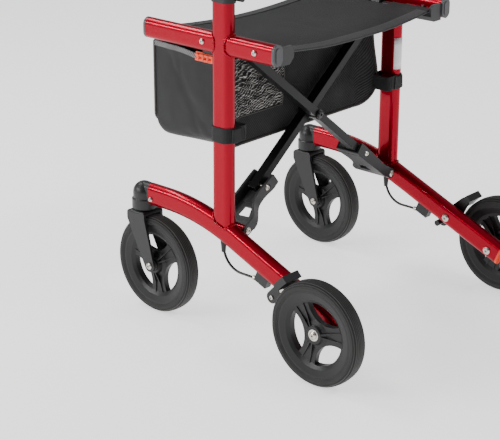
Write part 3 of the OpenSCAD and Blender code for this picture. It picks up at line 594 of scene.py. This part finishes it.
NYLON = fabric("bag_nylon", (0.012, 0.012, 0.0125), (0.026, 0.026, 0.027), "smooth",
               pitch=0.0011, depth=0.00006, rough=0.55, sheen=0.08)
TWILL = fabric("bag_twill", (0.001, 0.001, 0.001), (0.046, 0.046, 0.047), "twill",
               pitch=0.0068, depth=0.0006, rough=0.8, sheen=0.02)
SEAT = fabric("seat_weave", (0.010, 0.010, 0.0105), (0.030, 0.030, 0.031), "seat",
              pitch=0.0024, depth=0.0004, rough=0.8, sheen=0.06)
HEM = webbing("hem", (0.030, 0.030, 0.032), (0.060, 0.060, 0.063), 0.0022, 0.0)
MESH = mesh_cloth()
REFLECTIVE = webbing("reflective_webbing", (0.03, 0.03, 0.031), (0.30, 0.30, 0.30), 0.0058, 1.0)
STRAP = webbing("strap_webbing", (0.009, 0.009, 0.0095), (0.022, 0.022, 0.023), 0.0013, 0.0)
PIPING = plastic("piping", (0.030, 0.024, 0.021), 0.4, grain=500, gloss=0.5)

# ---------- seat sling ----------

# One cloth hung between the seat tubes, HALF to each side of the middle. Its middle part is split off
# SPLIT_INSIDE from each tube, so that it can close up on folding while the sleeves stay on the tubes.
low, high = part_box("seat_tube_left")
HALF, tube_z = (low.x + high.x) / 2, (low.z + high.z) / 2
SLING_MARGIN, NOTCH_MARGIN, WRAP_OFF = 0.004, 0.004, 0.0008
SLING_THICK = 0.0012
SAG = 0.014
LAP = math.radians(205)
LEAVES_TUBE = math.radians(12)
TAIL = 0.014
TAIL_SLANT, TAIL_RISE, TAIL_GAP = 0.95, 0.006, 0.0022
SPLIT_INSIDE, NOTCH_INSIDE = 0.018, 0.017

wrap_r = (high.x - low.x) / 2 + WRAP_OFF
sling_y0, sling_y1 = low.y + SLING_MARGIN, high.y - SLING_MARGIN
bar_box = [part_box("brace_bar_front"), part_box("brace_bar_rear")]
notch = (min(b[0].y for b in bar_box) - NOTCH_MARGIN, max(b[1].y for b in bar_box) + NOTCH_MARGIN)
wrap_len = wrap_r * LAP
total = 2 * (HALF + wrap_len + TAIL)
SPLIT = HALF - SPLIT_INSIDE
mid_share = 2 * SPLIT / total


def sling_height(x, y):
    """The middle of the sling: a hanging curve that loosens a little towards its free edges."""
    edge = abs((y - (sling_y0 + sling_y1) / 2) / ((sling_y1 - sling_y0) / 2))
    sag = SAG * (1 + 0.10 * edge ** 3)
    flat = 1 - (x / HALF) ** 2
    ripple = 0.0011 * crumple((x, y, 0.3), 9.0) + 0.0006 * crumple((x, y * 0.4, 1.7), 26.0, 4.0)
    return tube_z + wrap_r - sag * flat + ripple * flat


def sling_point(u, v):
    """The whole cloth: u runs across from tail to tail, v along the tubes. It hangs between the seat
    tubes, wraps round each of them and ends in a tail under itself."""
    y = sling_y0 + (sling_y1 - sling_y0) * v
    d = (u - 0.5) * total
    sign, d = math.copysign(1, d), abs(d)
    on_tube = HALF - wrap_r * LEAVES_TUBE
    if d <= on_tube:
        return Vector((sign * d, y, sling_height(d, y)))
    if d <= on_tube + wrap_len:
        a = math.pi / 2 + LEAVES_TUBE - (d - on_tube) / wrap_r
        return Vector((sign * (HALF + wrap_r * math.cos(a)), y, tube_z + wrap_r * math.sin(a)))
    e = d - (on_tube + wrap_len)
    a = math.pi / 2 + LEAVES_TUBE - LAP
    x = HALF + wrap_r * math.cos(a) - e * TAIL_SLANT
    z0 = tube_z + wrap_r * math.sin(a)
    under = sling_height(x, y) - TAIL_GAP
    return Vector((sign * x, y, z0 + (under - z0) * ease(e / TAIL_RISE)))


def mid_point(u, v):
    """A point of the middle part, between the two sleeves."""
    return sling_point(0.5 + (u - 0.5) * mid_share, v)


def sleeve_share(k, u):
    """How far across the whole cloth the left (k = 1) or right (k = -1) sleeve's u lies."""
    return 0.5 + k * 0.5 * (mid_share + (1 - mid_share) * u)


def outside_notch(u, v):
    """False where the cloth is cut away for the bars' hinges."""
    y = sling_y0 + (sling_y1 - sling_y0) * v
    d = abs(u - 0.5) * total
    return not (notch[0] < y < notch[1] and d > HALF - NOTCH_INSIDE)


def cut_length(u0, u1):
    """How much cloth the sling's middle line takes between two shares of its length."""
    path = [sling_point(u0 + (u1 - u0) * k / 200, 0.5) for k in range(201)]
    return sum((b - a).length for a, b in zip(path, path[1:]))


mid_len = cut_length(0.5 - mid_share / 2, 0.5 + mid_share / 2)
sleeve_len = cut_length(0.5 + mid_share / 2, 1.0)
sling = sheet_mesh("seat_sling_cloth", mid_point, 110, 96, SEAT, "seat_left")
thicken(sling, SLING_THICK)
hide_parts("seat_sling")
for side, k in SIDES.items():
    sleeve = sheet_mesh(f"seat_sleeve_{side}", lambda u, v, k=k: sling_point(sleeve_share(k, u), v), 44, 96,
                        SEAT, f"seat_{side}",
                        lambda u, v, k=k: outside_notch(sleeve_share(k, u), v))
    thicken(sleeve, SLING_THICK)

HEM_LIFT, HEM_THICK, HEM_ROLL_R, HEM_ROLL_IN = 0.0010, 0.0014, 0.0021, 0.002
hems = []
for tag, v0, v1, edge_v in (("front", -0.006, 0.075, -0.006 + HEM_ROLL_IN),
                            ("rear", 0.915, 1.006, 1.006 - HEM_ROLL_IN)):
    hem = sheet_mesh(f"seat_hem_{tag}",
                     lambda u, v, a=v0, b=v1: mid_point(u, a + (b - a) * v) + Vector((0, 0, HEM_LIFT)),
                     90, 8, HEM, "seat_left")
    thicken(hem, HEM_THICK)
    hems.append(hem)
    hems.append(sweep(f"seat_edge_{tag}", [mid_point(u / 60, edge_v) for u in range(61)],
                      round_section(HEM_ROLL_R, 8), HEM, "seat_left"))
for o in [sling] + hems:
    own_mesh(o)

# ---------- bag ----------

low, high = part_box("bag")
BX, BY0, BY1, BZ0, BZ1 = high.x, low.y, high.y, low.z, high.z
FRONT_R = 0.024
BAG_THICK, POCKET_THICK = 0.0013, 0.0007


def bag_corner(y):
    """Radius of the two lower corners, growing from the front to the rear."""
    return 0.018 + 0.028 * ease((y - BY0) / (BY1 - BY0))


def bag_floor(y):
    """Height of the floor, rounded up at the front."""
    f = min(max(BY0 + FRONT_R - y, 0), FRONT_R)
    return BZ0 + FRONT_R - math.sqrt(max(FRONT_R ** 2 - f ** 2, 0))


def panel_bottom(x, y):
    """Height of the U-shaped rim at x, at the end of the bag that lies at y."""
    r = bag_corner(y)
    past_corner = max(abs(x) - (BX - r), 0)
    return bag_floor(y) + r - math.sqrt(max(r * r - past_corner * past_corner, 0))


def bag_top(y):
    """The top edge dips towards the rear corners, where the clips pull on it."""
    return BZ1 - 0.010 * ease((y - BY0 - 0.05) / 0.1)


def bag_rim(s, y):
    """A point (x, z) of the bag's U-shaped section at y: s runs 0 to 1 from the left top edge down,
    across the floor and up to the right one."""
    r, z0, z1 = bag_corner(y), bag_floor(y), bag_top(y)
    side, arc, base = z1 - z0 - r, math.pi * r / 2, 2 * (BX - r)
    d = s * (2 * side + 2 * arc + base)
    if d <= side:
        return BX, z1 - d
    if d <= side + arc:
        a = (d - side) / r
        return BX - r + r * math.cos(a), z0 + r - r * math.sin(a)
    if d <= side + arc + base:
        return BX - r - (d - side - arc), z0
    if d <= side + 2 * arc + base:
        a = (d - side - arc - base) / r
        return -BX + r - r * math.sin(a), z0 + r - r * math.cos(a)
    return -BX, z0 + r + (d - side - 2 * arc - base)


def pull(x, z):
    """How far the straps draw the rear corners back."""
    near = ease((abs(x) - 0.17) / 0.055)
    return 0.015 * near * math.exp(-((z - 0.415) / 0.06) ** 2) + 0.004 * near


def bag_skirt(u, v):
    """The sides and the floor in one strip: puffed a little, folded and creased, with a sagging floor."""
    y = BY0 + (BY1 - BY0) * v
    x, z = bag_rim(u, y)
    up = (z - bag_floor(y)) / (BZ1 - BZ0)
    on_side = ease((abs(x) - (BX - 0.02)) / 0.02)
    mid = math.sin(math.pi * min(max(v, 0), 1))
    puff = 0.0065 * mid * math.sin(math.pi * min(max(up, 0), 1)) - 0.002 * mid
    folds = 0.0032 * crumple((y * 0.9 + z * 0.35, z * 0.55, x), 14.0)
    folds += 0.0012 * crumple((y, z, x), 42.0, 3.0)
    crease = 0.0022 * math.exp(-((y + 0.50 * z - 0.062) / 0.012) ** 2) * mid
    x += math.copysign(on_side * (puff + (folds - crease) * mid), x)
    below = (1 - ease(up * 4)) * mid
    z -= below * (0.006 * math.cos(math.pi * x / (2 * BX)) + 0.002 * crumple((x, y, 0), 12.0, 9.0))
    return Vector((x, y + pull(x, z) * ease(v * 1.6 - 0.6), z))


def bag_panel(y_at, outward, sag):
    """A flat end of the bag: columns of cloth between the U-shaped rim and the top edge."""
    def point(u, v):
        x = BX * math.sin((u - 0.5) * math.pi)
        bottom = panel_bottom(x, y_at)
        z = bottom + (bag_top(y_at) - bottom) * v
        inside = math.sin(math.pi * u) ** 0.5 * math.sin(math.pi * min(v * 1.15, 1.0) * 0.5)
        wave = 0.0035 * crumple((x, z * 1.6, 0), 8.0, 5.0) + 0.0012 * crumple((x, z, 0), 30.0, 2.0)
        y = y_at + outward * (sag * inside + wave * inside)
        if outward > 0:
            y += pull(x, z)
        return Vector((x, y, z))
    return point


rear_panel = bag_panel(BY1, 1, 0.003)
front_panel = bag_panel(BY0, -1, 0.006)
skirt = sheet_mesh("bag_sides_and_floor", bag_skirt, 190, 44, NYLON, "left_frame")
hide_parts("bag")
back_cloth = sheet_mesh("bag_rear_panel", rear_panel, 120, 50, TWILL, "left_frame")
front_cloth = sheet_mesh("bag_front_panel", front_panel, 120, 50, NYLON, "left_frame")
bag_pieces = [skirt, back_cloth, front_cloth]
for o in bag_pieces:
    thicken(o, BAG_THICK)

pocket_x, pocket_z = (0.052, 0.222), (0.415, 0.533)


def pocket_point(u, v):
    """The mesh pocket: it follows the rear panel, standing off from it in gathers."""
    x = pocket_x[0] + (pocket_x[1] - pocket_x[0]) * u
    z = pocket_z[0] + (pocket_z[1] - pocket_z[0]) * v
    t = 0.5 + math.asin(min(max(x / BX, -1), 1)) / math.pi
    bottom = panel_bottom(x, BY1)
    base = rear_panel(t, min(max((z - bottom) / (bag_top(BY1) - bottom), 0), 1))
    inside = (math.sin(math.pi * u) ** 0.6) * ease(v * 6)
    gather = 0.0016 * math.sin(z * 420 + 3.5 * crumple((x, z, 0), 20.0) * 3) * inside
    rough = 0.0022 * crumple((x * 1.2, z * 3.0, 0), 24.0, 7.0) * inside
    return base + Vector((0, 0.0016 + 0.0028 * inside + gather + rough, 0))


pocket = sheet_mesh("bag_mesh_pocket", pocket_point, 80, 64, MESH, "left_frame")
thicken(pocket, POCKET_THICK)
bag_pieces.append(pocket)
hem_line = [pocket_point(1 - k / 30, 0.0) for k in range(31)]
hem_line += [pocket_point(0, k / 24) for k in range(1, 25)]
bag_pieces.append(sweep("bag_pocket_hem", [p + Vector((0, 0.0004, 0)) for p in hem_line],
                        round_section(0.0016, 8), PIPING, "left_frame", up=(0, 1, 0)))

PIPING_OUT, PIPING_PROUD = 1.004, 0.0012
for tag, y_at in (("rear", BY1), ("front", BY0)):
    line = []
    for k in range(141):
        x, z = bag_rim(k / 140, y_at)
        stand_off = PIPING_PROUD + pull(x, z) if tag == "rear" else -PIPING_PROUD
        line.append((x * PIPING_OUT, y_at + stand_off, z))
    bag_pieces.append(sweep(f"bag_piping_{tag}", line, round_section(0.0027, 10), PIPING,
                            "left_frame", up=(0, 1, 0)))

WEBBING_WIDE, BINDING_WIDE, EDGING_THICK = 0.010, 0.011, 0.0034
for side, k in SIDES.items():
    line = [bag_skirt(0.5 - 0.5 * k, n / 60) for n in range(61)]
    shift = Vector((k * 0.0012, 0, -WEBBING_WIDE / 2 + 0.001))
    bag_pieces.append(sweep(f"bag_top_webbing_{side}", [p + shift for p in line],
                            band_section(WEBBING_WIDE, EDGING_THICK), REFLECTIVE,
                            "left_frame"))
for tag, panel in (("rear", rear_panel), ("front", front_panel)):
    line = [panel(0.02 + 0.96 * n / 80, 1.0) for n in range(81)]
    bag_pieces.append(sweep(f"bag_top_binding_{tag}", [p + Vector((0, 0, -0.004)) for p in line],
                            band_section(BINDING_WIDE, EDGING_THICK), STRAP, "left_frame"))
for o in bag_pieces:
    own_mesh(o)

# ---------- straps and clips ----------

low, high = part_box("upright_left")
col_x, col_y = (low.x + high.x) / 2, (low.y + high.y) / 2
col_w, col_h = high.x - low.x, high.y - low.y
STRAP_Z, STRAP_H, STRAP_THICK = 0.408, 0.030, 0.0022
STRAP_OFF = 0.0013
REACH_IN, BEND = 0.2170, 0.007
END_OUT, END_REAR = 0.0006, 0.0024
STITCH_X, STITCH_REAR, STITCH_STEP = 0.2245, 0.0262, 0.0027

rear_face = col_y + col_h / 2 + STRAP_OFF
front_face = col_y - col_h / 2 - STRAP_OFF
round_x = col_w / 2 + STRAP_OFF


def turn(x, y, r, start, stop, steps, first=1):
    """Points on an arc round (x, y), the angle going from start to stop in quarter turns."""
    angles = (math.pi / 2 * (start + (stop - start) * i / steps) for i in range(first, steps + first))
    return [(x + r * math.cos(a), y + r * math.sin(a)) for a in angles]


def strap_route():
    """The left strap seen from above: a loop round the upright, its far end a narrow bend by the bag."""
    near, run = REACH_IN + BEND, col_x - REACH_IN - BEND
    route = [(near + run * i / 12, rear_face) for i in range(13)]
    route += turn(col_x, rear_face - round_x, round_x, 1, 0, 8)
    route += turn(col_x, front_face + round_x, round_x, 0, -1, 8)
    route += [(col_x - run * i / 12, front_face) for i in range(1, 13)]
    route += turn(near, front_face + BEND, BEND, -1, -2, 6)
    route += turn(near, rear_face - BEND, BEND, 2, 1, 6, first=0)
    return [(x, y, 0.0007 * math.sin(0.5 * i)) for i, (x, y) in enumerate(route)]


strap_path = strap_route()
for side, k in SIDES.items():
    frame_body = f"{side}_frame"
    strap = sweep(f"strap_loop_{side}", [(k * x, y, STRAP_Z + dz) for x, y, dz in strap_path],
                  band_section(STRAP_H, STRAP_THICK), STRAP, frame_body, closed=True)
    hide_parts(f"bag_fastenings_{side}")
    sweep(f"strap_end_{side}",
          [(k * (x + END_OUT), y + END_REAR, STRAP_Z + dz) for x, y, dz in strap_path[4:15]],
          band_section(STRAP_H - 0.003, STRAP_THICK), STRAP, frame_body)
    sweep(f"strap_stitch_{side}",
          [(k * (STITCH_X + 0.0002 * i), col_y + STITCH_REAR, STRAP_Z - 0.0135 + STITCH_STEP * i)
           for i in range(11)], round_section(0.0006, 6), HEM, frame_body)


def clip_part(name, side, x_range, y_range, z_range, material, bevel=0.0008):
    """A block of the left bag clip, or its mirror image on the right."""
    x0, x1 = sorted(SIDES[side] * x for x in x_range)
    low, high = (x0, y_range[0], z_range[0]), (x1, y_range[1], z_range[1])
    block(f"clip_{name}", low, high, material, f"{side}_frame", bevel)


# The clip is an upright plate, two fins and five ribs on it, and a dark tab above; heights and the
# places along Y are the same on both sides, and X grows outward from the bag.
PLATE_X, FIN_X, FIN_END_X, RIB_END_X = 0.2300, 0.2325, 0.2375, 0.2384
PLATE_Y, PLATE_Z = (-0.136, -0.066), (0.527, 0.545)
FIN_Y, FIN_Z, FIN_H = (-0.134, -0.068), (0.5285, 0.5375), 0.0052
RIB_FIRST_Y, RIB_STEP, RIB_WIDE, RIB_Z = -0.127, 0.012, 0.004, (0.530, 0.5425)
TAB_X, TAB_Y, TAB_Z = 0.2295, (-0.118, -0.084), (0.543, 0.556)
for side in SIDES:
    clip_part(f"plate_{side}", side, (PLATE_X, FIN_X), PLATE_Y, PLATE_Z, ORANGE)
    for n, z in enumerate(FIN_Z):
        clip_part(f"fin_{side}_{n}", side, (FIN_X, FIN_END_X), FIN_Y, (z, z + FIN_H), ORANGE, 0.0016)
    for n in range(5):
        y = RIB_FIRST_Y + RIB_STEP * n
        clip_part(f"rib_{side}_{n}", side, (FIN_END_X, RIB_END_X), (y, y + RIB_WIDE), RIB_Z, ORANGE, 0.0004)
    clip_part(f"tab_{side}", side, (TAB_X, FIN_X), TAB_Y, TAB_Z, DARK)

# ---------- welds ----------

# The lower tube's middle line: an arch of radius ARCH_R, level at ARCH_Y, that ends in a straight slope
ARCH_Y, ARCH_R, LEVEL_Z, SLOPE = -0.1942, 0.446, 0.243, math.radians(22.8)
TUBE_HALF_W, TUBE_STRAIGHT = 0.0135, 0.009
# An arc just outside the upright's rounded faces, for the weld beads of the rails
FACE_MIDDLE, FACE_R, FACE_REACH = 0.0104, 0.013, 0.0128


def tube_top(x, y):
    """Height of the lower tube's upper surface under the upright's outline, x from the tube's middle."""
    lean = math.asin(min((y - ARCH_Y) / ARCH_R, math.sin(SLOPE)))
    middle = LEVEL_Z - ARCH_R + ARCH_R * math.cos(lean)
    rise = TUBE_STRAIGHT + math.sqrt(max(TUBE_HALF_W ** 2 - x * x, 0))
    return middle + rise / math.cos(lean)


def upright_face(x):
    """How far the upright's rounded face stands from its middle, x from the middle."""
    return FACE_MIDDLE + math.sqrt(max(FACE_R ** 2 - min(x * x, FACE_REACH ** 2), 0))


def bead(k):
    """Radius of a weld bead at step k: scalloped and a little uneven."""
    return 0.0022 + 0.0008 * abs(math.sin(k * 0.55)) + 0.0003 * math.sin(k * 2.1)


def bead_section(k):
    return round_section(bead(k), 8)(k)


rail_low, rail_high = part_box("seat_rail_left")
rail_mid_z = (rail_low.z + rail_high.z) / 2
rail_h, rail_w = rail_high.z - rail_low.z, rail_high.x - rail_low.x
for side, k in SIDES.items():
    body = f"{side}_frame"
    ring = [(k * (col_x + x), col_y + y, tube_top(x, col_y + y) + 0.0004)
            for x, y in oval_points(col_h + 0.0016, col_w + 0.0008, 150)]
    sweep(f"weld_upright_{side}", ring, bead_section, RED, body, closed=True)
    for tag, facing in (("rear", 1), ("front", -1)):
        ring = [(k * (col_x + x), col_y + facing * upright_face(x), rail_mid_z + z)
                for x, z in oval_points(rail_h + 0.0008, rail_w + 0.0006, 120)]
        sweep(f"weld_rail_{tag}_{side}", ring, bead_section, RED, body,
              closed=True, up=(0, 1, 0))

# ---------- small hard pieces ----------

# A socket screw's outline: (height above the face, radius), from its rim to the socket's floor
SCREW = [(0, 0.0043), (0.0016, 0.0043), (0.0024, 0.0036), (0.0026, 0.0024), (0.0026, 0.0022),
         (0.0012, 0.0020), (0.0012, 0.0002)]
CLAMP_SCREW = (0.2757, 0.095, 0.125)
for side, k in SIDES.items():
    x, y, z = CLAMP_SCREW
    lathe(f"clamp_screw_{side}", (k * x, y, z), (k, 0, 0), SCREW, STEEL, f"brake_{side}")

LABEL_FROM, LABEL_TURN = -30, 95
LABEL_Z, LABEL_H, LABEL_OFF, LABEL_THICK = 0.434, 0.066, 0.0004, 0.0003


def label_point(u, v):
    """A blank label laid round the right upright's rear, u round it and v upward."""
    a = math.radians(LABEL_FROM + LABEL_TURN * u)
    r = col_w / 2 + LABEL_OFF
    return Vector((-col_x + r * math.sin(a), col_y + (col_h - col_w) / 2 + r * math.cos(a),
                   LABEL_Z + LABEL_H * v))


LABEL = plastic("label", (0.75, 0.75, 0.75), 0.35, grain=300)
label = sheet_mesh("blank_label", label_point, 24, 4, LABEL, "right_frame")
thicken(label, LABEL_THICK)
